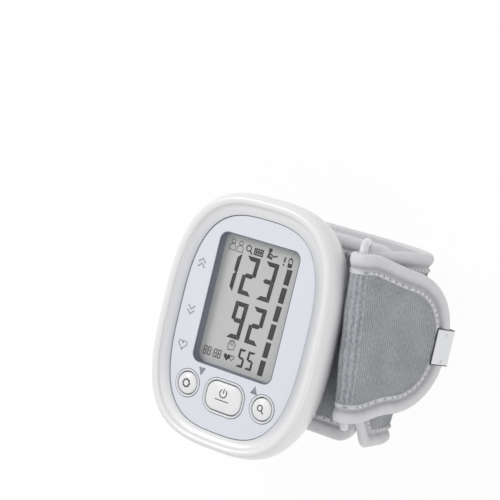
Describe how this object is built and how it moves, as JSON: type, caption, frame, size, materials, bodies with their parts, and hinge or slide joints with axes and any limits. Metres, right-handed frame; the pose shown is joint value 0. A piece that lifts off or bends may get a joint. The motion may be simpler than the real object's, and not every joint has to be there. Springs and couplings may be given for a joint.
{
  "type": "wrist blood pressure monitor",
  "caption": "Wrist blood pressure monitor: rounded white housing with a large display and push buttons, on a closed padded cuff that folds over a ring to a clipped tongue.",
  "frame": {"origin": "on the resting plane under the centre of the housing, on the outer face of the cuff's back layer", "axes": "+X to the right across the display, +Y along the housing towards its top, +Z out of the display"},
  "size_m": [0.1065, 0.0924, 0.0706],
  "materials": {
    "white_plastic": "smooth, slightly glossy white",
    "panel_plastic": "glossy bluish white",
    "clear_window": "clear, polished",
    "display_glass": "grey display glass, satin",
    "dark_plastic": "matt",
    "inner_plastic": "matt",
    "board": "satin solder mask",
    "chip_black": "matt",
    "sheet_metal": "satin nickel plating",
    "steel": "bright",
    "cell_sleeve": "printed sleeve, no print",
    "tube": "matt silicone",
    "bladder_film": "matt film",
    "cuff_fabric": "ribbed loop pile",
    "binding_fabric": "smooth woven tape",
    "lining_fabric": "smooth padded cloth",
    "label_fabric": "satin woven tape",
    "hook_tape": "hook tape",
    "clip_plastic": "glossy grey white"
  },
  "bodies": {
    "monitor": {"front_housing": "white_plastic", "rear_housing": "white_plastic", "face_panel": "panel_plastic", "display_window": "clear_window", "housing_screw_1": "steel", "housing_screw_2": "steel", "housing_screw_3": "steel", "housing_screw_4": "steel", "lcd_glass": "display_glass", "lcd_frame": "dark_plastic", "display_connector": "dark_plastic", "main_pcb": "board", "processor_chip": "chip_black", "pressure_sensor": "dark_plastic", "buzzer": "chip_black", "settings_switch": "dark_plastic", "start_switch": "dark_plastic", "memory_switch": "dark_plastic", "battery_1": "cell_sleeve", "battery_2": "cell_sleeve", "contact_plate_1": "sheet_metal", "contact_plate_2": "sheet_metal", "contact_spring_1": "steel", "contact_spring_2": "steel", "air_pump": "sheet_metal", "pump_head": "inner_plastic", "release_valve": "inner_plastic", "air_hose": "tube", "air_nipple": "inner_plastic", "cuff_strap": "cuff_fabric", "upper_binding": "binding_fabric", "lower_binding": "binding_fabric", "cuff_stiffener": "inner_plastic", "air_bladder": "bladder_film", "cuff_lining": "lining_fabric", "care_label": "label_fabric", "ring_loop": "binding_fabric", "d_ring": "sheet_metal"},
    "settings_key": {"settings_button": "white_plastic", "settings_plunger": "dark_plastic"},
    "start_key": {"start_button": "white_plastic", "start_plunger": "dark_plastic"},
    "memory_key": {"memory_button": "white_plastic", "memory_plunger": "dark_plastic"},
    "door": {"battery_door": "white_plastic"},
    "tongue": {"tongue_flap": "cuff_fabric", "tongue_binding": "binding_fabric", "end_clip": "clip_plastic", "hook_patch": "hook_tape"}
  },
  "joints": [
    {"name": "settings_press", "type": "slide", "parent": "monitor", "child": "settings_key", "axis": [0, 0, -1], "range_m": [0, 0.0008], "stiffness_N_per_m": 700, "springref_m": -0.001},
    {"name": "start_press", "type": "slide", "parent": "monitor", "child": "start_key", "axis": [0, 0, -1], "range_m": [0, 0.0008], "stiffness_N_per_m": 700, "springref_m": -0.001},
    {"name": "memory_press", "type": "slide", "parent": "monitor", "child": "memory_key", "axis": [0, 0, -1], "range_m": [0, 0.0008], "stiffness_N_per_m": 700, "springref_m": -0.001},
    {"name": "door_slide", "type": "slide", "parent": "monitor", "child": "door", "axis": [0, 1, 0], "range_m": [0, 0.028]},
    {"name": "tongue_peel", "type": "hinge", "parent": "monitor", "child": "tongue", "pos_m": [0.0448, 0.00716, 0.05618], "axis": [0.0669, -0.9874, -0.1433], "range_deg": [0, 65]}
  ]
}
